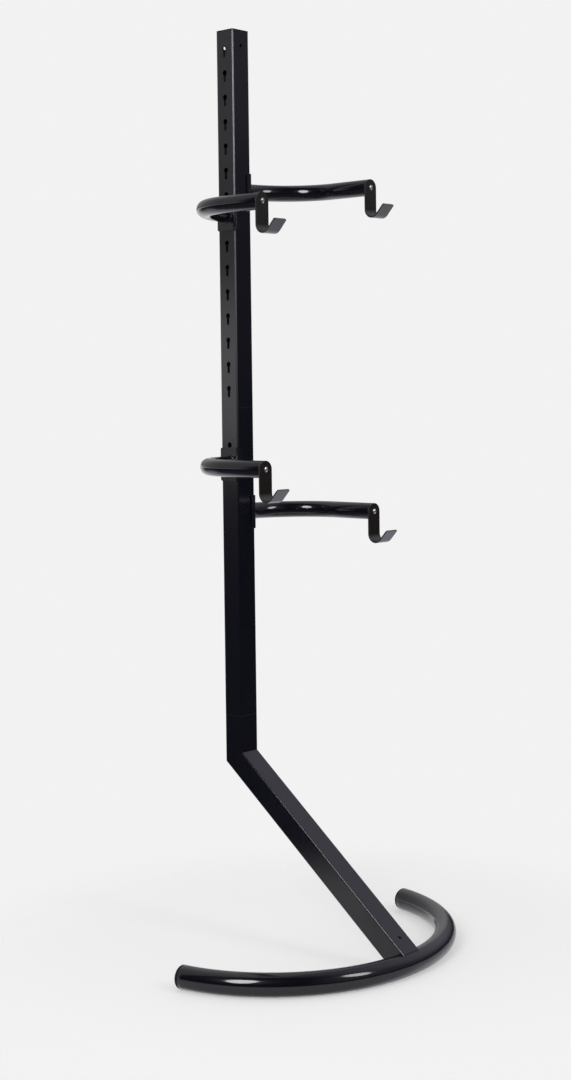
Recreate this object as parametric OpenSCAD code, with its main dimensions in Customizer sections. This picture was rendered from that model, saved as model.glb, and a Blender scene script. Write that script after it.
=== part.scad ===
// Floor-standing rack for two bicycles. It leans on a wall: a square post of three lengths rises from a
// bent round tube on the floor, and four arms hook into keyholes in the sides of the post.
// The wall is at the back (+Y), the room at the front (-Y), and the floor is at Z = 0.

/* [Stand] */
// Height from the floor to the top of the post
stand_h = 1990.7; // [1800:0.1:2200]
// Depth from the wall to the front of the base
base_depth = 520.7; // [500:0.1:600]
// Width over the two ends of the base
base_w = 749.3; // [640:0.1:900]

/* [Base] */
// Outer diameter of the bent floor tube
base_od = 48; // [44:1:50]
// Wall of the bent floor tube
base_wall = 3.5; // [2.5:0.1:4]
// Angle from the middle of the floor tube's bend to each of its ends
base_end_angle = 80.8; // [65:0.1:88]
// Length of the straight rim of an end cap
base_cap_rim = 3; // [2:0.5:6]
// Radius of the rounded edge of an end cap
base_cap_round = 5; // [3:0.5:8]
// Length of the plug of an end cap inside the tube
base_cap_plug = 18; // [10:1:30]

/* [Post] */
// Side of the square tube of the post and the leg
post_side = 50; // [46:1:54]
// Wall of the square tube of the post
post_wall = 1.2; // [1:0.1:2]
// Outer corner radius of the square tube
post_corner = 3; // [2.5:0.1:5]
// Height of the joint between the upper and the middle post
upper_joint_h = 1166; // [1100:1:1250]
// Height at which the axes of the post and the leg cross
bend_h = 394; // [350:1:450]
// Height of the joint between the middle post and the bent foot over that crossing
lower_joint_up = 92; // [85:1:120]
// Thickness of the rim of the post's top cap
post_cap_rim = 2.5; // [1.5:0.5:5]
// Length of the plug of the top cap inside the post
post_cap_plug = 14; // [10:1:20]
// Radius of the two holes for the screw that ties the post to the wall
wall_hole_r = 3.5; // [2.5:0.1:5]
// Distance of the wall screw's holes from the top
wall_hole_top = 34; // [30:1:38]

/* [Leg] */
// Height of the square end of the leg over the centre of the floor tube, along the leg
leg_stop = 9; // [9:0.5:14]
// Gap between the leg's shaped foot and the floor tube
leg_gap = 0.6; // [0.3:0.1:0.9]
// Length of the square stub on the floor tube that the leg slides over, from the tube's centre
stub_len = 110; // [90:1:160]
// Distance of the leg's screw from the centre of the floor tube, along the leg
leg_screw_at = 48; // [40:1:70]
// Radius of the leg's socket set screw
leg_screw_r = 4; // [3:0.5:5]

/* [Sleeves] */
// Play between a sleeve and the tube round it, on each side
sleeve_play = 0.3; // [0.2:0.05:0.5]
// Wall of a sleeve
sleeve_wall = 1.5; // [1.2:0.1:3]
// Length of the upper sleeve above its joint
upper_sleeve_up = 18; // [10:1:20]
// Length of the upper sleeve below its joint
upper_sleeve_down = 70; // [50:1:72]
// Length of the lower sleeve above its joint
lower_sleeve_up = 80; // [60:1:150]
// Length of the lower sleeve below its joint
lower_sleeve_down = 68; // [50:1:70]
// Distance of a sleeve's screw from the joint
sleeve_screw_at = 36; // [25:1:40]
// Radius of a sleeve's screw
sleeve_screw_r = 3; // [2.5:0.5:4]

/* [Keyholes] */
// Distance between keyholes
keyhole_pitch = 53; // [48:0.5:60]
// Least distance between the upper post's lowest keyhole and the sleeve below it
keyhole_end_gap = 4; // [2:0.5:20]
// Distance of the first keyhole's round head from the top
keyhole_top = 40.7; // [38:0.1:44]
// Play on the radius between a keyhole's round head and the head of a stud
keyhole_head_play = 0.5; // [0.3:0.1:1.5]
// Play on the radius between a keyhole's slot and the neck of a stud
keyhole_slot_play = 0.3; // [0.2:0.1:0.8]
// Drop from the middle of the head to the seat at the end of the slot
keyhole_drop = 16; // [14:0.5:18]
// Distance between the upper sleeve and the middle post's first left keyhole
middle_keyhole_gap = 6; // [2:0.5:20]
// Number of pitches by which the middle post's right keyholes are lower than its left ones
middle_keyhole_step = 2; // [1:1:3]

/* [Arms] */
// Keyhole that carries the upper left bracket, counted from 0 at the top
upper_left_keyhole = 6; // [0:1:12]
// Keyhole that carries the upper right bracket, counted from 0 at the top
upper_right_keyhole = 5; // [0:1:12]
// Outer diameter of an arm's tube
arm_od = 36; // [30:1:38]
// Wall of an arm's tube
arm_wall = 1.5; // [1.2:0.1:3]
// Length of the straight part of an arm's tube beside its bracket
arm_straight = 4.7; // [2:0.1:40]
// Distance from the post's middle to the front part of an arm
arm_offset = 171; // [150:1:200]
// Distance from the wall to the end of an arm's tube
arm_reach = 270; // [240:1:300]
// Distance from the middle of a bracket's stud to the end of its plate
bracket_end = 10; // [8:0.5:12]
// Thickness of a bracket's plate
bracket_t = 3; // [2:0.5:4]
// Width of a bracket's lip on the front of the post
bracket_lip = 15; // [12:1:20]
// Corner radius of a bracket's plate
bracket_corner = 4; // [2:0.5:8]
// Play between a bracket and the post
bracket_play = 0.3; // [0.2:0.1:0.5]
// Radius of a stud's neck
stud_neck_r = 3.2; // [2.5:0.1:4]
// Radius of a stud's head
stud_head_r = 5.5; // [5:0.1:7]
// Thickness of a stud's head
stud_head_t = 3; // [2:0.5:5]
// Length of the threaded plug in an arm's end
arm_plug_len = 12; // [10:1:20]

/* [Hooks] */
// Width of a hook's strap
hook_w = 36; // [30:1:42]
// Thickness of a hook's strap
hook_t = 3; // [2:0.5:4]
// Depth of a hook's lowest point below its screw
hook_drop = 68; // [60:1:90]
// Outer bend radius of a hook
hook_bend_r = 20; // [16:1:24]
// Angle of a hook's lip over the horizontal
hook_lip_angle = 47; // [20:1:70]
// Length of a hook's lip
hook_lip_len = 28; // [20:1:50]
// Corner radius of a hook's lip
hook_lip_corner = 3; // [1:0.5:8]
// Play between a hook and what lies in front of it and behind it
hook_play = 0.3; // [0.2:0.1:0.5]
// Running clearance of the screw in a hook, on the radius
hook_pin_play = 0.06; // [0.02:0.01:0.1]
// Radius of a hook's screw
hook_screw_r = 3; // [2.5:0.5:4]
// Radius of the head of a hook's screw
hook_screw_head_r = 5.5; // [5:0.5:7]
// Thickness of the head of a hook's screw
hook_screw_head_t = 3.3; // [2.5:0.1:5]

/* [Hidden] */
$fn = 96;
STEEL_BLACK = [0.09, 0.09, 0.10];
HOOK_BLACK = [0.14, 0.13, 0.13];
PLASTIC_BLACK = [0.06, 0.06, 0.06];
BRIGHT_STEEL = [0.80, 0.80, 0.82];

// Radial play of a fixed screw in its hole
fixed_play = 0.05;
// Allowance by which a cutting shape runs past a face
past = 1;

// The model is drawn with the wall at Y = 0 and then moved so that its box is centred on the origin.
wall_y = base_depth / 2;
post_y = -post_side / 2;
post_bore = post_side - 2 * post_wall;

// The bend radius that puts the outer edge of each end cap at half the width of the base
base_rr = base_od / 2;
base_edge_x = base_w / 2 - base_cap_round - base_cap_rim * cos(base_end_angle);
base_r = base_edge_x / sin(base_end_angle) - base_rr + base_cap_round;
base_centre_y = -base_depth + base_rr + base_r;

// The leg runs from the bend down to the middle of the front of the floor tube.
foot_y = -base_depth + base_rr;
leg_len = norm([foot_y - post_y, bend_h - base_rr]);
leg_angle = atan2(post_y - foot_y, bend_h - base_rr);

lower_joint_h = bend_h + lower_joint_up;

keyhole_head_r = stud_head_r + keyhole_head_play;
keyhole_slot_r = stud_neck_r + keyhole_slot_play;
keyhole_low = keyhole_drop + keyhole_slot_r + keyhole_end_gap;
first_keyhole_z = stand_h - keyhole_top;
keyhole_run = first_keyhole_z - keyhole_low - upper_joint_h - upper_sleeve_up;
keyhole_count = floor(keyhole_run / keyhole_pitch) + 1;
middle_left_z = upper_joint_h - upper_sleeve_down - middle_keyhole_gap - keyhole_head_r;
middle_right_z = middle_left_z - middle_keyhole_step * keyhole_pitch;

function keyhole_z(k) = first_keyhole_z - k * keyhole_pitch;

// Height of an arm's axis, from the keyhole that takes its bracket's upper stud
function arm_z(head_z) = head_z - keyhole_drop - keyhole_pitch / 2;

// Side of the post (-1 left, 1 right) and height of each arm
UPPER_LEFT = [-1, arm_z(keyhole_z(upper_left_keyhole))];
UPPER_RIGHT = [1, arm_z(keyhole_z(upper_right_keyhole))];
LOWER_LEFT = [-1, arm_z(middle_left_z)];
LOWER_RIGHT = [1, arm_z(middle_right_z)];

web_in = post_side / 2 + bracket_play;
web_out = web_in + bracket_t;
lip_in = post_side + bracket_play;
lip_out = lip_in + bracket_t;
bracket_h = keyhole_pitch + 2 * bracket_end;
arm_bore_r = arm_od / 2 - arm_wall;
arm_bend_r = arm_offset - web_out - arm_straight;
stud_head_x = post_bore / 2 - bracket_play;

hook_back = arm_reach + hook_play;
hook_front = hook_back + hook_t;
hook_head_at = hook_front + hook_play;
hook_bend_z = hook_bend_r - hook_drop;

screw_head_r = 1.9 * sleeve_screw_r;
screw_head_t = 1.1 * sleeve_screw_r;
nut_r = 2.1 * sleeve_screw_r;
nut_t = 1.7 * sleeve_screw_r;
leg_nut_r = 1.85 * leg_screw_r;
leg_nut_t = 1.6 * leg_screw_r;

module at_wall() {
    translate([0, wall_y, 0]) children();
}

module rounded_square(side, r) {
    square([side - 2 * r, side], center = true);
    square([side, side - 2 * r], center = true);
    for (x = [-1, 1], y = [-1, 1])
        translate([x, y] * (side / 2 - r)) circle(r);
}

module tube_profile(side, wall, corner) {
    difference() {
        rounded_square(side, corner);
        rounded_square(side - 2 * wall, max(corner - wall, 0.5));
    }
}

// Square tube of the post, standing on the middle of the post between two heights
module post_length(low, high) {
    translate([0, post_y, low]) linear_extrude(high - low) tube_profile(post_side, post_wall, post_corner);
}

// Everything above the mitre where the post meets the leg
module above_mitre() {
    reach = 3 * post_side;
    translate([0, post_y, bend_h]) rotate([-leg_angle / 2, 0, 0])
        translate([-reach / 2, -reach / 2, 0]) cube(reach);
}

// Frame of the leg: the origin is in the middle of the floor tube and +Z runs up the leg
module leg_frame() {
    translate([0, foot_y, base_rr]) rotate([-leg_angle, 0, 0]) children();
}

// Stretch of the bent floor tube, solid, of radius r, up to an angle each side of its middle
module base_bend(r, half_angle) {
    translate([0, base_centre_y, base_rr]) rotate([0, 0, -90 - half_angle])
        rotate_extrude(angle = 2 * half_angle) translate([base_r, 0]) circle(r);
}

module foot_cutter(gap) {
    cutter_angle = 15;
    base_bend(base_rr + gap, cutter_angle);
}

// Keyhole seen from the side: a round head with a slot that drops to the seat
module keyhole() {
    circle(keyhole_head_r);
    translate([-keyhole_slot_r, -keyhole_drop]) square([2 * keyhole_slot_r, keyhole_drop]);
    translate([0, -keyhole_drop]) circle(keyhole_slot_r);
}

// Keyhole cut through one side wall, or through both where the width takes in the whole post
module keyhole_cut(side, z, width) {
    translate([side * post_side / 2, post_y, z]) rotate([90, 0, 90])
        linear_extrude(width, center = true) keyhole();
}

module sleeve_length(low, high) {
    side = post_bore - 2 * sleeve_play;
    translate([0, post_y, low]) linear_extrude(high - low)
        tube_profile(side, sleeve_wall, max(post_corner - post_wall, sleeve_wall));
}

// Hole or shank across the right wall of the post
module right_wall_rod(z, r, low, high) {
    translate([low, post_y, z]) rotate([0, 90, 0]) cylinder(high - low, r, r);
}

module base_arc() {
    color(STEEL_BLACK) at_wall() difference() {
        base_bend(base_rr, base_end_angle);
        translate([0, base_centre_y, base_rr]) rotate([0, 0, -90 - base_end_angle])
            rotate_extrude(angle = 2 * base_end_angle) translate([base_r, 0]) circle(base_rr - base_wall);
    }
}

// Plastic cap of the floor tube: a rounded head on the end, and a plug that tapers to fit the curved bore
module base_cap(side) {
    plug_r = base_rr - base_wall - fixed_play;
    plug_taper = base_cap_plug * base_cap_plug / (2 * base_r);
    head_t = base_cap_rim + base_cap_round;
    inner_r = base_rr - base_cap_round;
    color(PLASTIC_BLACK) at_wall()
        translate([0, base_centre_y, base_rr]) rotate([0, 0, side * base_end_angle])
        translate([0, -base_r, 0]) rotate([0, side * 90, 0])
        rotate_extrude() {
            polygon([[0, -base_cap_plug], [plug_r - plug_taper, -base_cap_plug], [plug_r, 0], [0, 0]]);
            square([base_rr, base_cap_rim]);
            square([inner_r, head_t]);
            translate([inner_r, base_cap_rim]) intersection() {
                circle(base_cap_round);
                square(base_cap_round);
            }
        }
}

// Square stub welded on the floor tube, shaped to its curve
module base_stub() {
    color(STEEL_BLACK) at_wall() difference() {
        leg_frame() linear_extrude(stub_len)
            tube_profile(post_bore - 2 * sleeve_play, sleeve_wall, sleeve_wall);
        foot_cutter(0);
        leg_frame() leg_screw_rod(leg_screw_r + fixed_play, past);
    }
}

// Rod on the axis of the leg's screw, from inside the stub to a distance past the leg's front face
module leg_screw_rod(r, past_face) {
    inner = post_bore / 2 - sleeve_play - sleeve_wall;
    translate([0, -inner + past, leg_screw_at]) rotate([90, 0, 0])
        cylinder(post_side / 2 + past_face - inner + past, r, r);
}

module leg_tube() {
    color(STEEL_BLACK) at_wall() difference() {
        leg_frame() translate([0, 0, leg_stop]) linear_extrude(leg_len + post_side - leg_stop)
            tube_profile(post_side, post_wall, post_corner);
        above_mitre();
        foot_cutter(leg_gap);
        leg_frame() leg_screw_rod(leg_screw_r + hook_play, past);
    }
}

module leg_nut() {
    face = post_bore / 2 - sleeve_play - sleeve_wall;
    hole_r = leg_screw_r + fixed_play;
    color(STEEL_BLACK) at_wall() leg_frame() translate([0, -face + leg_nut_t, leg_screw_at])
        rotate([90, 0, 0]) difference() {
            cylinder(leg_nut_t, leg_nut_r, leg_nut_r, $fn = 6);
            translate([0, 0, -past]) cylinder(leg_nut_t + 2 * past, hole_r, hole_r);
        }
}

// Socket set screw, its outer end just below the leg's front face
module leg_screw() {
    length = post_side / 2 - (post_bore / 2 - sleeve_play - sleeve_wall) + leg_nut_t;
    socket_depth = 0.9 * leg_screw_r;
    recess = 0.5;
    color(PLASTIC_BLACK) at_wall() leg_frame()
        translate([0, recess - post_side / 2, leg_screw_at]) rotate([-90, 0, 0]) difference() {
            cylinder(length, leg_screw_r, leg_screw_r);
            translate([0, 0, -past]) cylinder(socket_depth + past, leg_screw_r / 2, leg_screw_r / 2, $fn = 6);
        }
}

module lower_post() {
    color(STEEL_BLACK) at_wall() intersection() {
        post_length(bend_h - post_side, lower_joint_h);
        above_mitre();
    }
}

module lower_sleeve() {
    color(STEEL_BLACK) at_wall() difference() {
        sleeve_length(lower_joint_h - lower_sleeve_down, lower_joint_h + lower_sleeve_up);
        right_wall_rod(lower_joint_h + sleeve_screw_at, sleeve_screw_r + fixed_play, 0, post_side);
    }
}

module middle_post() {
    wall_cut = 4 * post_wall;
    color(STEEL_BLACK) at_wall() difference() {
        post_length(lower_joint_h, upper_joint_h);
        for (k = [0, 1]) {
            keyhole_cut(-1, middle_left_z - k * keyhole_pitch, wall_cut);
            keyhole_cut(1, middle_right_z - k * keyhole_pitch, wall_cut);
        }
        for (z = [lower_joint_h + sleeve_screw_at, upper_joint_h - sleeve_screw_at])
            right_wall_rod(z, sleeve_screw_r + fixed_play, 0, post_side);
    }
}

module upper_sleeve() {
    color(STEEL_BLACK) at_wall() difference() {
        sleeve_length(upper_joint_h - upper_sleeve_down, upper_joint_h + upper_sleeve_up);
        right_wall_rod(upper_joint_h - sleeve_screw_at, sleeve_screw_r + fixed_play, 0, post_side);
    }
}

module upper_post() {
    color(STEEL_BLACK) at_wall() difference() {
        post_length(upper_joint_h, stand_h - post_cap_rim);
        for (k = [0 : keyhole_count - 1])
            translate([-post_side / 2, 0, 0]) keyhole_cut(1, keyhole_z(k), post_side + 2 * past);
        translate([0, past, stand_h - wall_hole_top]) rotate([90, 0, 0])
            cylinder(post_side + 2 * past, wall_hole_r, wall_hole_r);
    }
}

module post_cap() {
    plug_side = post_bore - 2 * sleeve_play;
    plug_wall = 2;
    color(PLASTIC_BLACK) at_wall() translate([0, post_y, stand_h]) {
        translate([0, 0, -post_cap_rim]) linear_extrude(post_cap_rim) rounded_square(post_side, post_corner);
        translate([0, 0, -post_cap_rim - post_cap_plug]) linear_extrude(post_cap_plug)
            tube_profile(plug_side, plug_wall, plug_wall);
    }
}

// The two sleeve screws, one a joint, on the right side of the post
module sleeve_screws() {
    inside = post_bore / 2 - sleeve_play - sleeve_wall - nut_t;
    heights = [lower_joint_h + sleeve_screw_at, upper_joint_h - sleeve_screw_at];
    color(BRIGHT_STEEL) at_wall() for (z = heights) {
        right_wall_rod(z, sleeve_screw_r, inside, post_side / 2);
        right_wall_rod(z, screw_head_r, post_side / 2, post_side / 2 + screw_head_t);
    }
}

module sleeve_nuts() {
    outside = post_bore / 2 - sleeve_play - sleeve_wall;
    color(BRIGHT_STEEL) at_wall() for (z = [lower_joint_h + sleeve_screw_at, upper_joint_h - sleeve_screw_at])
        difference() {
            translate([outside - nut_t, post_y, z]) rotate([0, 90, 0]) cylinder(nut_t, nut_r, nut_r, $fn = 6);
            right_wall_rod(z, sleeve_screw_r + fixed_play, outside - nut_t - past, outside + past);
        }
}

// Frame of an arm: drawn for the right side, with the arm's axis at Z = 0, and mirrored for the left
module arm_frame(site) {
    at_wall() translate([0, 0, site[1]]) mirror([site[0] < 0 ? 1 : 0, 0, 0]) children();
}

// Plan of a bracket: a plate on the side of the post, bent round the corner into a lip on its front
module bracket_plan() {
    corner_x = post_side / 2 - post_corner;
    corner_y = -post_side + post_corner;
    lip_end = web_out - bracket_lip;
    translate([web_in, corner_y]) square([bracket_t, -corner_y]);
    translate([lip_end, -lip_out]) square([corner_x - lip_end, bracket_t]);
    translate([corner_x, corner_y]) intersection() {
        difference() {
            circle(post_corner + bracket_play + bracket_t);
            circle(post_corner + bracket_play);
        }
        translate([0, -2 * post_side]) square(2 * post_side);
    }
}

// Rectangle whose corners at its right end are rounded, from x = 0 back to the left
module round_ended_plate(length, height, r) {
    translate([-length, -height / 2]) square([length - r, height]);
    translate([-length, r - height / 2]) square([length, height - 2 * r]);
    for (y = [-1, 1])
        translate([-r, y * (height / 2 - r)]) circle(r);
}

module bracket(site) {
    reach = 2 * post_side;
    color(STEEL_BLACK) arm_frame(site) difference() {
        intersection() {
            linear_extrude(bracket_h, center = true) bracket_plan();
            rotate([90, 0, 90]) linear_extrude(reach, center = true)
                round_ended_plate(reach, bracket_h, bracket_corner);
            translate([web_out - bracket_lip, 0, 0]) mirror([1, 0, 0]) rotate([90, 0, 0])
                linear_extrude(2 * reach, center = true) round_ended_plate(reach, bracket_h, bracket_corner);
        }
        for (z = [-1, 1])
            translate([0, post_y, z * keyhole_pitch / 2]) rotate([0, 90, 0])
                cylinder(reach, stud_neck_r + fixed_play, stud_neck_r + fixed_play);
    }
}

// The bracket's two studs: a neck through the plate and the keyhole's slot, and a head inside the post
module studs(site) {
    color(STEEL_BLACK) arm_frame(site) for (z = [-1, 1])
        translate([0, post_y, z * keyhole_pitch / 2]) rotate([0, 90, 0]) {
            translate([0, 0, stud_head_x]) cylinder(web_out - stud_head_x, stud_neck_r, stud_neck_r);
            translate([0, 0, stud_head_x - stud_head_t]) cylinder(stud_head_t, stud_head_r, stud_head_r);
        }
}

// Path of an arm's tube, filled to a radius: out from the bracket, round the bend and towards the room
module arm_path(r) {
    bend_x = arm_offset - arm_bend_r;
    bend_y = post_y - arm_bend_r;
    translate([web_out, post_y, 0]) rotate([0, 90, 0]) cylinder(bend_x - web_out, r, r);
    translate([bend_x, bend_y, 0]) rotate_extrude(angle = 90) translate([arm_bend_r, 0]) circle(r);
    translate([arm_offset, bend_y, 0]) rotate([90, 0, 0]) cylinder(arm_reach + bend_y, r, r);
}

module arm_tube(site) {
    color(STEEL_BLACK) arm_frame(site) difference() {
        arm_path(arm_od / 2);
        arm_path(arm_bore_r);
    }
}

module arm_plug(site) {
    color(STEEL_BLACK) arm_frame(site) translate([arm_offset, -arm_reach, 0]) rotate([-90, 0, 0])
        difference() {
            cylinder(arm_plug_len, arm_bore_r - fixed_play, arm_bore_r - fixed_play);
            translate([0, 0, -past])
                cylinder(arm_plug_len + 2 * past, hook_screw_r + fixed_play, hook_screw_r + fixed_play);
        }
}

module hook_screw(site) {
    socket_r = 0.6 * hook_screw_r;
    socket_depth = 0.6 * hook_screw_head_t;
    edge = 0.3 * hook_screw_head_t;
    shank_at = arm_reach - arm_plug_len;
    color(BRIGHT_STEEL) arm_frame(site) translate([arm_offset, 0, 0]) rotate([90, 0, 0]) difference() {
        union() {
            translate([0, 0, shank_at]) cylinder(hook_head_at - shank_at, hook_screw_r, hook_screw_r);
            translate([0, 0, hook_head_at]) cylinder(edge, hook_screw_head_r, hook_screw_head_r);
            translate([0, 0, hook_head_at + edge])
                cylinder(hook_screw_head_t - edge, hook_screw_head_r, hook_screw_head_r * 0.62);
        }
        translate([0, 0, hook_head_at + hook_screw_head_t - socket_depth])
            cylinder(socket_depth + past, socket_r, socket_r, $fn = 6);
    }
}

// Side view of a hook's strap from the middle of its screw: down, round the bend and up the lip
module hook_side() {
    inner_r = hook_bend_r - hook_t;
    translate([-hook_t, hook_bend_z]) square([hook_t, hook_w / 2 - hook_bend_z]);
    translate([-hook_bend_r, hook_bend_z]) {
        difference() {
            circle(hook_bend_r);
            circle(inner_r);
            translate([-hook_bend_r - past, 0]) square(2 * (hook_bend_r + past));
            rotate(-hook_lip_angle) translate([-2 * hook_bend_r, -hook_bend_r]) square(2 * hook_bend_r);
        }
        rotate(-hook_lip_angle) translate([-hook_lip_len, -hook_bend_r]) square([hook_lip_len, hook_t]);
    }
}

// Corner at (x, 0) of a plate that lies towards +Y, less a quarter circle
module corner_cut(x, r) {
    mirror([x < 0 ? 1 : 0, 0]) difference() {
        translate([abs(x) - r, -past]) square(r + past);
        translate([abs(x) - r, r]) circle(r);
    }
}

// Hook of flat strap: a rounded plate under the screw, a bend and an open lip towards the room
module hook(site) {
    reach = 2 * (hook_drop + hook_lip_len);
    color(HOOK_BLACK) arm_frame(site) translate([arm_offset, -hook_back, 0]) difference() {
        intersection() {
            rotate([90, 0, 90]) linear_extrude(hook_w, center = true) hook_side();
            rotate([90, 0, 0]) linear_extrude(reach) {
                circle(hook_w / 2);
                translate([-hook_w / 2, -reach]) square([hook_w, reach]);
            }
        }
        translate([0, -hook_bend_r, hook_bend_z]) rotate([-hook_lip_angle, 0, 0])
            translate([0, -hook_lip_len, -hook_bend_r - past]) linear_extrude(hook_t + 2 * past)
            for (side = [-1, 1])
                corner_cut(side * hook_w / 2, hook_lip_corner);
        rotate([90, 0, 0]) translate([0, 0, -past])
            cylinder(hook_t + 2 * past, hook_screw_r + hook_pin_play, hook_screw_r + hook_pin_play);
    }
}

base_arc();
base_cap(-1);  // base_cap_left
base_cap(1);  // base_cap_right
base_stub();
leg_tube();
leg_nut();
leg_screw();
lower_post();
lower_sleeve();
middle_post();
upper_sleeve();
upper_post();
post_cap();
sleeve_screws();
sleeve_nuts();
bracket(UPPER_LEFT);  // bracket_upper_left
studs(UPPER_LEFT);  // studs_upper_left
arm_tube(UPPER_LEFT);  // arm_upper_left
arm_plug(UPPER_LEFT);  // arm_plug_upper_left
hook_screw(UPPER_LEFT);  // hook_screw_upper_left
hook(UPPER_LEFT);  // hook_upper_left
bracket(UPPER_RIGHT);  // bracket_upper_right
studs(UPPER_RIGHT);  // studs_upper_right
arm_tube(UPPER_RIGHT);  // arm_upper_right
arm_plug(UPPER_RIGHT);  // arm_plug_upper_right
hook_screw(UPPER_RIGHT);  // hook_screw_upper_right
hook(UPPER_RIGHT);  // hook_upper_right
bracket(LOWER_LEFT);  // bracket_lower_left
studs(LOWER_LEFT);  // studs_lower_left
arm_tube(LOWER_LEFT);  // arm_lower_left
arm_plug(LOWER_LEFT);  // arm_plug_lower_left
hook_screw(LOWER_LEFT);  // hook_screw_lower_left
hook(LOWER_LEFT);  // hook_lower_left
bracket(LOWER_RIGHT);  // bracket_lower_right
studs(LOWER_RIGHT);  // studs_lower_right
arm_tube(LOWER_RIGHT);  // arm_lower_right
arm_plug(LOWER_RIGHT);  // arm_plug_lower_right
hook_screw(LOWER_RIGHT);  // hook_screw_lower_right
hook(LOWER_RIGHT);  // hook_lower_right
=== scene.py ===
import math

import bmesh
import bpy
from mathutils import Matrix, Vector


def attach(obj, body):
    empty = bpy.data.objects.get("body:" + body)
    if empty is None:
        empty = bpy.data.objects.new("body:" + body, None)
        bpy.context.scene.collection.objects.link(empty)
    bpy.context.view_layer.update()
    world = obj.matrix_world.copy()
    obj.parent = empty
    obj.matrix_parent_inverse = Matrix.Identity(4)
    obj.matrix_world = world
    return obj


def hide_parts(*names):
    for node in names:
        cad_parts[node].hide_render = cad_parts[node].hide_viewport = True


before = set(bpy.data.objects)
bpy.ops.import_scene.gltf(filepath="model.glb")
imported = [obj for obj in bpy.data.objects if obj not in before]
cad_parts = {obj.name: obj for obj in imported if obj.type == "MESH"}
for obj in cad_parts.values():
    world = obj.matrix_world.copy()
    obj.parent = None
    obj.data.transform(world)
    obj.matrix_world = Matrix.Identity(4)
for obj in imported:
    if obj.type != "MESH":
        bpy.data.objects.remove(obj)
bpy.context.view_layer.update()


# FLOOR TUBE
# Round steel tube, 48 mm across, rolled into most of a half circle and laid flat on the floor. Like all the
# steel of the stand it is powder coated: black, half glossy, with the soft ripple of powder that has flowed.

class Wire:
    """An output in a node tree. Sums on it add Math nodes, and node() adds any other node."""

    def __init__(self, tree, socket=None):
        self.tree = tree
        self.socket = socket

    def node(self, kind, settings=(), sockets=(), out=0):
        made = self.tree.nodes.new(kind)
        for name, value in dict(settings).items():
            setattr(made, name, value)
        for name, value in dict(sockets).items():
            if isinstance(value, Wire):
                self.tree.links.new(value.socket, made.inputs[name])
            else:
                made.inputs[name].default_value = value
        return Wire(self.tree, made.outputs[out] if made.outputs else None)

    def maths(self, operation, first, second):
        return self.node("ShaderNodeMath", {"operation": operation}, {0: first, 1: second})

    def __add__(self, other):
        return self.maths("ADD", self, other)

    def __sub__(self, other):
        return self.maths("SUBTRACT", self, other)

    def __rsub__(self, other):
        return self.maths("SUBTRACT", other, self)

    def __mul__(self, other):
        return self.maths("MULTIPLY", self, other)

    def __truediv__(self, other):
        return self.maths("DIVIDE", self, other)

    def parts(self, kind, whole):
        """The outputs of a node that takes a vector or colour apart."""
        made = self.tree.nodes.new(kind)
        self.tree.links.new(whole.socket, made.inputs[0])
        return [Wire(self.tree, s) for s in made.outputs]

    def noise(self, place, size, detail=2.0):
        """Cloudy pattern, from 0 to 1, whose patches are about size metres across."""
        return self.node("ShaderNodeTexNoise", {}, {"Vector": place, "Scale": 1 / size, "Detail": detail})

    def ramp(self, low, high, value):
        """Smooth step from 0 at low to 1 at high."""
        return self.node("ShaderNodeMapRange", {"interpolation_type": "SMOOTHSTEP"},
                         {"Value": value, "From Min": low, "From Max": high})

    def blend(self, share, first, second):
        """Colour between first, where share is 0, and second, where it is 1."""
        return self.node("ShaderNodeMix", {"data_type": "RGBA"}, {0: share, 6: first, 7: second}, 2)


def finish(name):
    """An empty material, the wire that starts its nodes, and the place on the piece."""
    material = bpy.data.materials.new(name)
    material.use_nodes = True
    material.node_tree.nodes.clear()
    wire = Wire(material.node_tree)
    return material, wire, wire.node("ShaderNodeTexCoord", out="Object")


def close(wire, sockets):
    wire.node("ShaderNodeOutputMaterial", {}, {"Surface": wire.node("ShaderNodeBsdfPrincipled", {}, sockets)})


def powder_coat(name, colour, gloss, glaze, peel, corner_highlight=None, seams=()):
    """Black powder coat under its own clear skin. The gloss varies in patches of a hand's width, and the
    ripple is 2 to 3 mm long. Where the mask it is given says so, the coat is painted paler: a painted
    highlight that stands in for light caught along the corners. At the height of each seam, where two
    lengths butt, it rounds into a fine groove."""
    # colour of the painted highlight on the corners
    corner_highlight_colour = (0.125, 0.125, 0.135, 1)
    groove_half, groove_depth = 0.0014, 0.0012
    material, wire, place = finish(name)
    patches = wire.noise(place, 0.09)
    flecks = wire.ramp(0.62, 0.74, wire.noise(place, 0.0035, 1.0))
    ripple = wire.noise(place, 0.0026) * 0.75 + wire.noise(place, 0.0007, 1.0) * 0.25
    paler = [c * 1.6 for c in colour[:3]] + [1]
    paint = wire.blend(patches * 0.6 + flecks * 0.4, colour, paler)
    # painted highlight: paler paint where the corner mask says so, in place of light reflected off the
    # corners
    if corner_highlight:
        paint = wire.blend(corner_highlight(wire, place), paint, corner_highlight_colour)
    surface = {"Strength": peel, "Distance": 0.0004, "Height": ripple}
    if seams:
        z = wire.parts("ShaderNodeSeparateXYZ", place)[2]
        groove = 1.0
        for height in seams:
            groove = wire.ramp(0.0, groove_half, wire.maths("ABSOLUTE", z - height, 0.0)) * groove
        surface["Normal"] = wire.node("ShaderNodeBump", {}, {
            "Strength": 1.0, "Distance": groove_depth, "Height": groove})
    close(wire, {
        "Base Color": paint,
        "Roughness": patches * 0.08 + flecks * 0.05 + (gloss - 0.04),
        "Specular IOR Level": 0.10,
        "Coat Weight": patches * 0.15 + 0.85,
        "Coat Roughness": glaze,
        "Coat IOR": 1.75,
        "Normal": wire.node("ShaderNodeBump", {}, surface),
    })
    return material


tube_coat = powder_coat("tube powder coat", (0.0020, 0.0020, 0.0048, 1), 0.30, 0.09, 0.18)


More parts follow.
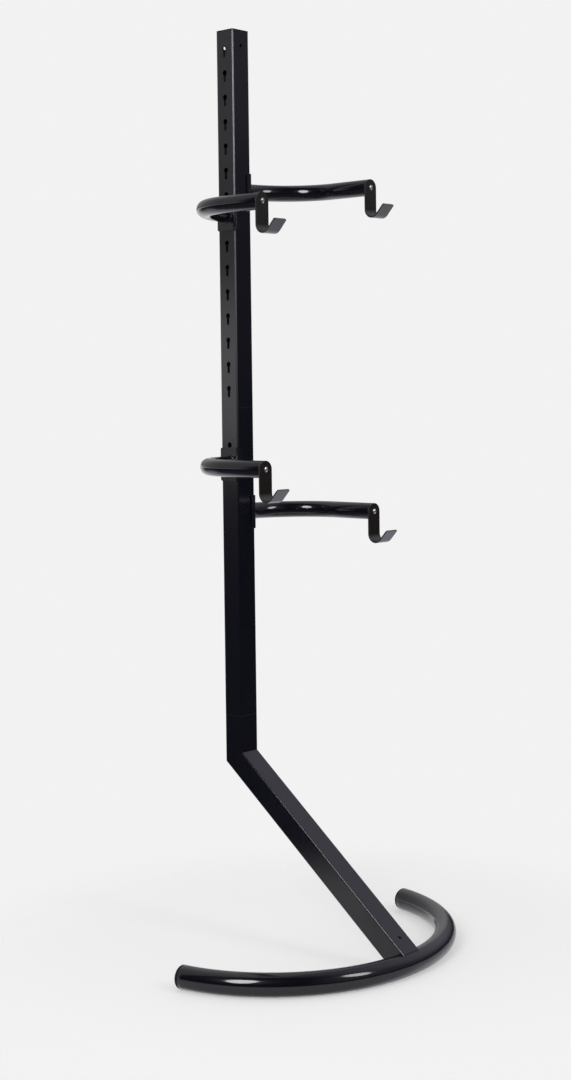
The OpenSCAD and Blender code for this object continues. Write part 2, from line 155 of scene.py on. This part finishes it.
def recipe(name, **inputs):
    """A Geometry Nodes tree with named inputs, and its inputs as wires."""
    tree = bpy.data.node_groups.new(name, "GeometryNodeTree")
    tree.interface.new_socket("Geometry", in_out="INPUT", socket_type="NodeSocketGeometry")
    for label, kind in inputs.items():
        tree.interface.new_socket(label.replace("_", " "), in_out="INPUT", socket_type="NodeSocket" + kind)
    tree.interface.new_socket("Geometry", in_out="OUTPUT", socket_type="NodeSocketGeometry")
    return tree, {s.name: Wire(tree, s) for s in tree.nodes.new("NodeGroupInput").outputs if s.name}


def swept(wire, path, steps, radius, scale=1.0):
    """A round section of so many steps, swept along a path in a recipe."""
    section = wire.node("GeometryNodeCurvePrimitiveCircle", {}, {"Resolution": steps, "Radius": radius})
    return wire.node("GeometryNodeCurveToMesh", {}, {"Curve": path, "Profile Curve": section, "Scale": scale})


def serve(wire, shape, material):
    """The end of a recipe: real faces, smooth, in their finish."""
    real = wire.node("GeometryNodeRealizeInstances", {}, {"Geometry": shape})
    smooth = wire.node("GeometryNodeSetShadeSmooth", {}, {"Geometry": real})
    done = wire.node("GeometryNodeSetMaterial", {}, {"Geometry": smooth, "Material": material})
    wire.node("NodeGroupOutput", {}, {"Geometry": done})


def start(name, data):
    made = bpy.data.objects.new(name, data)
    bpy.context.scene.collection.objects.link(made)
    return made


def converted(piece, name):
    """The piece with its modifiers applied, as a plain object of its own."""
    mesh = bpy.data.meshes.new_from_object(piece.evaluated_get(bpy.context.evaluated_depsgraph_get()))
    bpy.data.objects.remove(piece)
    return start(name, mesh)


def cleaned(made):
    """A mesh from a recipe gets its doubles merged and its normals turned outward."""
    shell = bmesh.new()
    shell.from_mesh(made.data)
    bmesh.ops.remove_doubles(shell, verts=shell.verts, dist=0.000001)
    bmesh.ops.recalc_face_normals(shell, faces=shell.faces)
    shell.to_mesh(made.data)
    shell.free()
    return made


def follow(tree, source, name, **values):
    """Runs a recipe on a source object and returns the plain piece."""
    modifier = source.modifiers.new("recipe", "NODES")
    modifier.node_group = tree
    for item in tree.interface.items_tree:
        if item.in_out == "INPUT" and item.name.replace(" ", "_") in values:
            modifier[item.identifier] = values[item.name.replace(" ", "_")]
    return cleaned(converted(source, name))


def walled(piece, name, wall, rim):
    """Gives a bent tube its wall, inwards, and rounds the cut ends."""
    wall_modifier = piece.modifiers.new("wall", "SOLIDIFY")
    wall_modifier.thickness = wall
    wall_modifier.offset = -1
    round_modifier = piece.modifiers.new("rim", "BEVEL")
    round_modifier.width = rim
    round_modifier.segments = 2
    round_modifier.angle_limit = math.radians(50)
    return converted(piece, name)


wall_plane = 0.26035
floor_tube_r = 0.024
floor_tube_wall = 0.0035
end_angle = math.radians(80.8)
cap_rim = 0.003
cap_round = 0.005
half_width = 0.37463
depth = 0.5207
bend_r = (half_width - cap_round - cap_rim * math.cos(end_angle)) / math.sin(end_angle)
bend_r = bend_r - floor_tube_r + cap_round
bend_middle = Vector((0, wall_plane - depth + floor_tube_r + bend_r, floor_tube_r))

tree, given = recipe("rolled tube", Bend_radius="Float", Half_angle="Float", Tube_radius="Float",
                     Middle="Vector", Finish="Material")
wire = Wire(tree)
arc = wire.node("GeometryNodeCurveArc", {}, {"Resolution": 120, "Radius": given["Bend radius"],
                                             "Start Angle": given["Half angle"] * -1 - math.pi / 2,
                                             "Sweep Angle": given["Half angle"] * 2})
arc = wire.node("GeometryNodeTransform", {}, {"Geometry": arc, "Translation": given["Middle"]})
serve(wire, swept(wire, arc, 64, given["Tube radius"]), given["Finish"])

floor_tube = follow(tree, start("seed", bpy.data.meshes.new("seed")), "seed", Bend_radius=bend_r,
                    Half_angle=end_angle, Tube_radius=floor_tube_r, Middle=bend_middle, Finish=tube_coat)
floor_tube = walled(floor_tube, "floor_tube", floor_tube_wall, 0.0004)
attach(floor_tube, "stand")
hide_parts("base_arc")


# END CAPS OF THE FLOOR TUBE
# Moulded black plastic plugs with a rounded head. Duller than the tube, with the fine texture of the mould
# and a shallow groove where the head meets the tube.

def moulded_plastic(name, colour, gloss):
    material, wire, place = finish(name)
    texture = wire.noise(place, 0.0009, 3.0)
    rubbed = wire.ramp(0.35, 0.75, wire.noise(place, 0.02))
    close(wire, {
        "Base Color": wire.blend(rubbed, colour, [c * 1.7 for c in colour[:3]] + [1]),
        "Roughness": rubbed * 0.12 + (gloss - 0.06),
        "Specular IOR Level": 0.2,
        "Normal": wire.node("ShaderNodeBump", {}, {"Strength": 0.25, "Distance": 0.0002, "Height": texture}),
    })
    return material


def round_ring(shape, radius, height, steps, axis=Matrix()):
    """A ring of points about an axis, given by a matrix whose Z it is, or one point where the radius is 0."""
    ring = []
    for k in range(steps if radius > 0 else 1):
        turn = math.tau * k / steps
        point = Vector((radius * math.cos(turn), radius * math.sin(turn), height))
        ring.append(shape.verts.new(axis @ point))
    return ring


def skinned(shape, rings, steps, name, material, sharp):
    """A piece from rings of points, each joined to the next by faces. Edges past an angle stay sharp."""
    for low, high in zip(rings, rings[1:]):
        for k in range(steps):
            corners = [low[k % len(low)], low[(k + 1) % len(low)],
                       high[(k + 1) % len(high)], high[k % len(high)]]
            shape.faces.new(list(dict.fromkeys(corners))).smooth = True
    bmesh.ops.recalc_face_normals(shape, faces=shape.faces)
    mesh = bpy.data.meshes.new(name)
    shape.to_mesh(mesh)
    shape.free()
    mesh.materials.append(material)
    mesh.set_sharp_from_angle(angle=math.radians(sharp))
    return start(name, mesh)


cap_plastic = moulded_plastic("cap plastic", (0.006, 0.006, 0.0065, 1), 0.36)
cap_steps = 64
plug_len = 0.018
plug_r = floor_tube_r - floor_tube_wall - 0.0001
plug_end_r = plug_r - plug_len ** 2 / (2 * bend_r)
cap_outline = [(0, -plug_len), (plug_end_r - 0.001, -plug_len), (plug_end_r, 0.001 - plug_len),
               (plug_r, -0.0002), (plug_r, 0.0001), (floor_tube_r - 0.0008, 0.0001),
               (floor_tube_r - 0.0006, 0.0005), (floor_tube_r - 0.0001, 0.0008),
               (floor_tube_r, 0.0012), (floor_tube_r, cap_rim)]
for k in range(1, 11):
    turn = math.radians(9 * k)
    cap_outline.append((floor_tube_r - cap_round * (1 - math.cos(turn)),
                        cap_rim + cap_round * math.sin(turn)))
cap_outline += [(0.012, cap_rim + cap_round - 0.0001), (0, cap_rim + cap_round)]
for side, word in ((-1, "left"), (1, "right")):
    place = (Matrix.Translation(bend_middle) @ Matrix.Rotation(side * end_angle, 4, "Z")
             @ Matrix.Translation((0, -bend_r, 0)) @ Matrix.Rotation(side * math.pi / 2, 4, "Y"))
    shape = bmesh.new()
    rings = [round_ring(shape, radius, height, cap_steps, place) for radius, height in cap_outline]
    end_cap = skinned(shape, rings, cap_steps, "floor_tube_cap_" + word, cap_plastic, 40)
    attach(end_cap, "stand")
    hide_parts("base_cap_" + word)


# LEG AND BENT FOOT
# Square steel tube, mitred and welded to the short upright and ground flush. It slides over a square stub
# on the floor tube, where a black socket set screw in its front face holds it.

def softened(node, name, edge, material):
    """A copy of a CAD piece whose sharp edges are rounded, as a tumbled and painted edge is. Its flat faces
    keep their shading."""
    shape = bmesh.new()
    shape.from_mesh(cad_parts[node].data)
    bmesh.ops.remove_doubles(shape, verts=shape.verts, dist=0.000002)
    bmesh.ops.dissolve_degenerate(shape, edges=shape.edges, dist=0.000001)
    mesh = bpy.data.meshes.new(name)
    shape.to_mesh(mesh)
    shape.free()
    if "custom_normal" in mesh.attributes:
        mesh.attributes.remove(mesh.attributes["custom_normal"])
    mesh.shade_smooth()
    mesh.materials.clear()
    mesh.materials.append(material)
    copy = start("seed", mesh)
    bevel = copy.modifiers.new("edge", "BEVEL")
    bevel.width = edge
    bevel.segments = 2
    bevel.limit_method = "ANGLE"
    bevel.angle_limit = math.radians(35)
    copy.modifiers.new("flat faces stay flat", "WEIGHTED_NORMAL")
    piece = converted(copy, name)
    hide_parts(node)
    return piece


def coated(node, material):
    """A CAD piece that stays as it is gets its finish."""
    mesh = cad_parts[node].data
    mesh.materials.clear()
    mesh.materials.append(material)


post_side = 0.05
post_middle = wall_plane - post_side / 2
joints = (0.486, 1.166)


def painted_corner_highlight(wire, place):
    """A painted highlight: 1 in the rounded corners of the upright tube and less lower down, where light
    catches the corners near the top.
    """
    x, y, z = wire.parts("ShaderNodeSeparateXYZ", place)
    inner, outer = post_side / 2 - 0.0034, post_side / 2 - 0.0016
    in_x = wire.ramp(inner, outer, wire.maths("ABSOLUTE", x, 0.0))
    in_y = wire.ramp(inner, outer, wire.maths("ABSOLUTE", y - post_middle, 0.0))
    return in_x * in_y * wire.ramp(0.9, 1.8, z)


# the square tubes' coat carries the painted highlight on the post's corners
square_coat = powder_coat("square tube powder coat", (0.0018, 0.0019, 0.0052, 1), 0.34, 0.12, 0.20,
                          painted_corner_highlight, joints)
for node in ("base_stub", "leg_tube", "lower_post"):
    coated(node, square_coat)


def machined(name, colour, gloss, metal, ring):
    """Plated or blackened screw steel, with fine turning marks and a few dull patches."""
    material, wire, place = finish(name)
    dull = wire.ramp(0.45, 0.7, wire.noise(place, 0.004))
    marks = wire.noise(place, ring, 1.0)
    close(wire, {
        "Base Color": wire.blend(dull * 0.5, colour, [c * 0.8 for c in colour[:3]] + [1]),
        "Metallic": metal,
        "Roughness": dull * 0.12 + marks * 0.06 + (gloss - 0.06),
        "Normal": wire.node("ShaderNodeBump", {}, {"Strength": 0.08, "Distance": 0.0001, "Height": marks}),
    })
    return material


black_oxide = machined("black oxide", (0.030, 0.030, 0.033, 1), 0.38, 0.9, 0.0006)
for node in ("leg_screw", "leg_nut"):
    coated(node, black_oxide)


# POST
# Three lengths of 50 mm square tube on hidden square sleeves. The upper length has laser-cut keyholes down
# both sides, the middle one two pairs for the lower arms. The top has a flat plastic plug.

for node in ("lower_sleeve", "middle_post", "upper_sleeve", "upper_post"):
    coated(node, square_coat)
top_cap = softened("post_cap", "top_cap", 0.0007, cap_plastic)
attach(top_cap, "stand")


# SLEEVE SCREWS
# At each joint of the post one zinc-plated button screw goes through the far side and the sleeve
# into a nut inside.

zinc = machined("bright zinc", (0.80, 0.81, 0.84, 1), 0.34, 1.0, 0.0005)
coated("sleeve_nuts", zinc)


def button_screw(name, head_r, head_t, shank_r, shank_len, socket_r, material):
    """A screw with a domed head and a six-sided socket, its seat at the origin and its head along +Z."""
    steps = 36
    rim = head_t * 0.28
    outline = [(0, -shank_len), (shank_r - 0.0004, -shank_len), (shank_r, -shank_len + 0.0004),
               (shank_r, 0), (head_r - 0.0002, 0), (head_r, 0.0002), (head_r, rim)]
    for k in range(1, 7):
        turn = math.radians(15 * k)
        outline.append((head_r - (head_r - socket_r * 1.35) * math.sin(turn) ** 1.6,
                        rim + (head_t - rim) * (1 - math.cos(turn)) ** 0.5))
    shape = bmesh.new()
    rings = [round_ring(shape, radius, height, steps) for radius, height in outline]

    def six_sided(height, scale):
        ring = []
        for k in range(steps):
            turn = math.tau * k / steps
            off = (turn + math.pi / 6) % (math.pi / 3) - math.pi / 6
            reach = socket_r * scale * math.cos(math.pi / 6) / math.cos(off)
            ring.append(shape.verts.new((reach * math.cos(turn), reach * math.sin(turn), height)))
        return ring

    rings.append(six_sided(head_t, 1.06))
    rings.append(six_sided(head_t - 0.0002, 1.0))
    rings.append(six_sided(head_t * 0.38, 1.0))
    rings.append(round_ring(shape, 0, rim, steps))
    return skinned(shape, rings, steps, name, material, 38)


placing, given = recipe("pieces on points", Piece="Object", Turn="Rotation", Finish="Material")
wire = Wire(placing)
pattern = wire.node("GeometryNodeObjectInfo", {}, {"Object": given["Piece"]}, "Geometry")
laid_out = wire.node("GeometryNodeInstanceOnPoints", {}, {"Points": given["Geometry"], "Instance": pattern,
                                                          "Rotation": given["Turn"]})
serve(wire, laid_out, given["Finish"])


def on_points(name, pattern, points, turn, material, body):
    """Sets a pattern piece out on points, all turned alike, and joins what rides on one body."""
    mesh = bpy.data.meshes.new("points")
    mesh.from_pydata(points, [], [])
    made = follow(placing, start("points", mesh), name, Piece=pattern, Turn=turn, Finish=material)
    made.data.set_sharp_from_angle(angle=math.radians(38))
    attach(made, body)
    return made


sleeve_screw = button_screw("sleeve_screw_pattern", 0.0057, 0.0033, 0.003, 0.012, 0.0021, zinc)
screw_heights = (joints[0] + 0.036, joints[1] - 0.036)
sleeve_screws = on_points("sleeve_screws", sleeve_screw,
                          [(post_side / 2, post_middle, height) for height in screw_heights],
                          (0, math.pi / 2, 0), zinc, "stand")
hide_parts("sleeve_screws")
bpy.data.objects.remove(sleeve_screw)


# BRACKETS AND STUDS
# Each arm hangs on a 3 mm steel plate bent round the post's front corner, by two headed studs that drop
# into two keyholes. The plate is laser cut, so its edges are square until the powder rounds them.

arms = {
    "upper_left": (-1, 1.5895),
    "upper_right": (1, 1.6425),
    "lower_left": (-1, 1.0415),
    "lower_right": (1, 0.9355),
}
bracket_coat = powder_coat("bracket powder coat", (0.0018, 0.0019, 0.0052, 1), 0.36, 0.20, 0.20)
for word in arms:
    bracket = softened("bracket_" + word, "bracket_plate_" + word, 0.0004, bracket_coat)
    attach(bracket, word + "_arm")
    coated("studs_" + word, bracket_coat)


# ARMS
# Round steel tube, 36 mm across, bent through a right angle so that it clears the post and comes to the
# front. Its end is butted on the bracket and welded all round, before both are coated.

arm_r = 0.018
arm_wall = 0.0015
arm_side = 0.171
arm_front = wall_plane - 0.270
arm_bend = 0.138
plate_face = 0.0283

bent, given = recipe("bent tube", Bend_radius="Float", Tube_radius="Float", Finish="Material")
wire = Wire(bent)
path = wire.node("GeometryNodeFilletCurve", {"mode": "POLY"}, {"Curve": given["Geometry"], "Count": 40,
                                                              "Radius": given["Bend radius"]})
serve(wire, swept(wire, path, 56, given["Tube radius"]), given["Finish"])

for word, (side, height) in arms.items():
    line = bpy.data.curves.new("path", "CURVE")
    line.dimensions = "3D"
    corner_line = line.splines.new("POLY")
    corner_line.points.add(2)
    corners = ((side * plate_face, post_middle), (side * arm_side, post_middle),
               (side * arm_side, arm_front))
    for point, (x, y) in zip(corner_line.points, corners):
        point.co = (x, y, height, 1)
    arm = follow(bent, start("path", line), "seed", Bend_radius=arm_bend, Tube_radius=arm_r, Finish=tube_coat)
    arm = walled(arm, "arm_tube_" + word, arm_wall, 0.0003)
    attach(arm, word + "_arm")
    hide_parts("arm_" + word)
    coated("arm_plug_" + word, square_coat)


# WELDS
# One round of weld joins each arm tube to its bracket: 46 overlapping beads, up to 5 mm across and each
# widest where it starts, under the same coat as the bracket.

bead_r = 0.0024
welding, given = recipe("round of weld", Ring_radius="Float", Bead_radius="Float", Beads="Int", Seed="Int",
                        Finish="Material")
wire = Wire(welding)
points_per_bead = 7
ring = wire.node("GeometryNodeCurvePrimitiveCircle", {}, {"Resolution": given["Beads"] * points_per_bead,
                                                          "Radius": given["Ring radius"]})
along = (wire.node("GeometryNodeInputIndex") + 0.01) / points_per_bead
uneven = wire.node("FunctionNodeRandomValue", {"data_type": "FLOAT"}, {
    "Min": 0.94, "Max": 1.04, "ID": wire.maths("FLOOR", along, 0.0), "Seed": given["Seed"]}, 1)
swell = wire.maths("POWER", wire.maths("FRACT", along, 0.0), 1.6) * -0.16 + 1.0
serve(wire, swept(wire, ring, 14, given["Bead radius"], uneven * swell), given["Finish"])
for number, (word, (side, height)) in enumerate(arms.items()):
    weld = follow(welding, start("seed", bpy.data.meshes.new("seed")), "weld_" + word,
                  Ring_radius=arm_r + 0.0006, Bead_radius=bead_r, Beads=46, Seed=number + 3,
                  Finish=bracket_coat)
    weld.data.transform(Matrix.Translation((side * (plate_face + 0.0004), post_middle, height))
                        @ Matrix.Rotation(math.pi / 2, 4, "Y"))
    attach(weld, word + "_arm")


# HOOK SCREWS
# A bright zinc button screw in the threaded plug of each arm's end. The hook turns on its smooth shank.

hook_face = wall_plane - 0.2736
screw_pattern = button_screw("hook_screw_pattern", 0.0055, 0.0033, 0.003, 0.0146, 0.0015, zinc)
for word, (side, height) in arms.items():
    screw = on_points("hook_button_screw_" + word, screw_pattern, [(side * arm_side, hook_face, height)],
                      (math.pi / 2, 0, 0), zinc, word + "_arm")
    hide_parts("hook_screw_" + word)
bpy.data.objects.remove(screw_pattern)


# HOOKS
# Flat strap, 36 by 3 mm, with a rounded top, folded into an open hook whose lip points up and out. Its coat
# is duller and warmer than the tubes'.

hook_coat = powder_coat("hook powder coat", (0.0068, 0.0050, 0.0038, 1), 0.38, 0.28, 0.24)
for word in arms:
    hook = softened("hook_" + word, "strap_hook_" + word, 0.0005, hook_coat)
    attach(hook, word + "_hook")


# STUDIO
# A pale floor that fades into the background, and two soft boxes, one from the left and one from the front.

floor_half, floor_top = 4, -0.0002
floor_mesh = bpy.data.meshes.new("floor")
floor_mesh.from_pydata([(x * floor_half, y * floor_half, floor_top)
                        for x, y in ((-1, -1), (1, -1), (1, 1), (-1, 1))], [], [(0, 1, 2, 3)])
floor = start("floor", floor_mesh)
paper, wire, place = finish("floor paper")
reach = wire.node("ShaderNodeVectorMath", {"operation": "LENGTH"}, {0: place}, "Value")
sheet = wire.node("ShaderNodeBsdfPrincipled", {}, {"Base Color": (0.86, 0.86, 0.86, 1), "Roughness": 0.9,
                                                   "Specular IOR Level": 0.1})
gone = wire.node("ShaderNodeBsdfTransparent")
fading = wire.ramp(0.45, 1.0, reach) * 0.55 + 0.45
mixed = wire.node("ShaderNodeMixShader", {}, {0: fading, 1: sheet, 2: gone})
wire.node("ShaderNodeOutputMaterial", {}, {"Surface": mixed})
floor_mesh.materials.append(paper)

world = bpy.data.worlds.new("studio")
bpy.context.scene.world = world
world.use_nodes = True
world.node_tree.nodes.clear()
wire = Wire(world.node_tree)
x, y, z = wire.parts("ShaderNodeSeparateXYZ", wire.node("ShaderNodeTexCoord", out="Generated"))
rays = world.node_tree.nodes.new("ShaderNodeLightPath").outputs
camera_ray, mirror_ray, glass_ray = (Wire(world.node_tree, rays[name]) for name in
                                     ("Is Camera Ray", "Is Glossy Ray", "Is Transmission Ray"))

# What mirrors show behind the object: the pale background as far as it reaches, brightest below eye level.
level = wire.maths("SQRT", 1.0001 - z * z, 0.0)
sides = wire.maths("MAXIMUM", wire.ramp(-0.05, -0.025, z), wire.ramp(0.0, 0.4, x))
backdrop = wire.ramp(0.42, 0.60, y / level) * sides
backdrop = backdrop * (wire.ramp(0.10, 0.13, z) * 0.15 + wire.ramp(0.060, 0.042, z) * 0.70 + 0.22)
pale = camera_ray + (mirror_ray + glass_ray) * backdrop

# What they show of the dim room: a band at the front right, one above on the right, and the floor.
front_right = wire.ramp(0.1, 0.6, x * 0.75 - y * 0.66)
front_right = front_right * (wire.ramp(-0.02, 0.02, z) * 0.03 + wire.ramp(0.09, 0.17, z) * 0.10)
above_right = wire.ramp(0.45, 0.85, x * 0.72 + y * 0.2 + z * 0.66) * wire.ramp(0.1, 0.5, z) * 0.24
below = wire.ramp(-0.12, -0.55, z) * (wire.ramp(0.1, 0.6, y * 0.8 + x) * 0.70 + 0.06)
dim = front_right + above_right + below + 0.005
dim = wire.node("ShaderNodeCombineColor", {}, {"Red": dim * 0.97, "Green": dim * 0.96, "Blue": dim * 1.1})
room = wire.blend(mirror_ray + glass_ray, (0.72, 0.72, 0.72, 1), dim)
colour = wire.blend(pale, room, (0.888, 0.888, 0.888, 1))
back = wire.node("ShaderNodeBackground", {}, {"Color": colour, "Strength": 1.0})
wire.node("ShaderNodeOutputWorld", {}, {"Surface": back})

lamp_rise = math.radians(26)
lamp_distance = 4.16
lit_middle = Vector((0, 0, 1.3))
for name, azimuth, width, height, power in (("left soft box", -77, 1.45, 2.8, 75),
                                            ("front soft box", 7, 1.25, 2.2, 36)):
    lamp = bpy.data.lights.new(name, "AREA")
    lamp.shape = "ELLIPSE"
    lamp.size = width
    lamp.size_y = height
    lamp.energy = power
    box = start(name, lamp)
    round_by = math.radians(azimuth)
    out = Vector((math.sin(round_by) * math.cos(lamp_rise), -math.cos(round_by) * math.cos(lamp_rise),
                  math.sin(lamp_rise)))
    box.location = lit_middle + out * lamp_distance
    box.rotation_euler = out.to_track_quat("Z", "Y").to_euler()
    box.visible_camera = False


# CAMERA
# Where the photograph was taken from, a little to the left of the front, at chest height.

lens = bpy.data.cameras.new("camera")
lens.sensor_width = 36
lens.lens = 59.02
lens.shift_x = -0.0559
lens.shift_y = -0.0883
lens.clip_end = 100
camera = start("camera", lens)
right = Vector((0.657602, -0.753279, -0.011442))
up = Vector((0.031401, 0.012232, 0.999432))
ahead = Vector((0.752711, 0.657587, -0.031697))
camera.matrix_world = (Matrix.Translation((-2.78692, -2.51664, 1.20524))
                       @ Matrix((right, up, -ahead)).transposed().to_4x4())
bpy.context.scene.camera = camera
bpy.context.scene.view_settings.view_transform = "Standard"
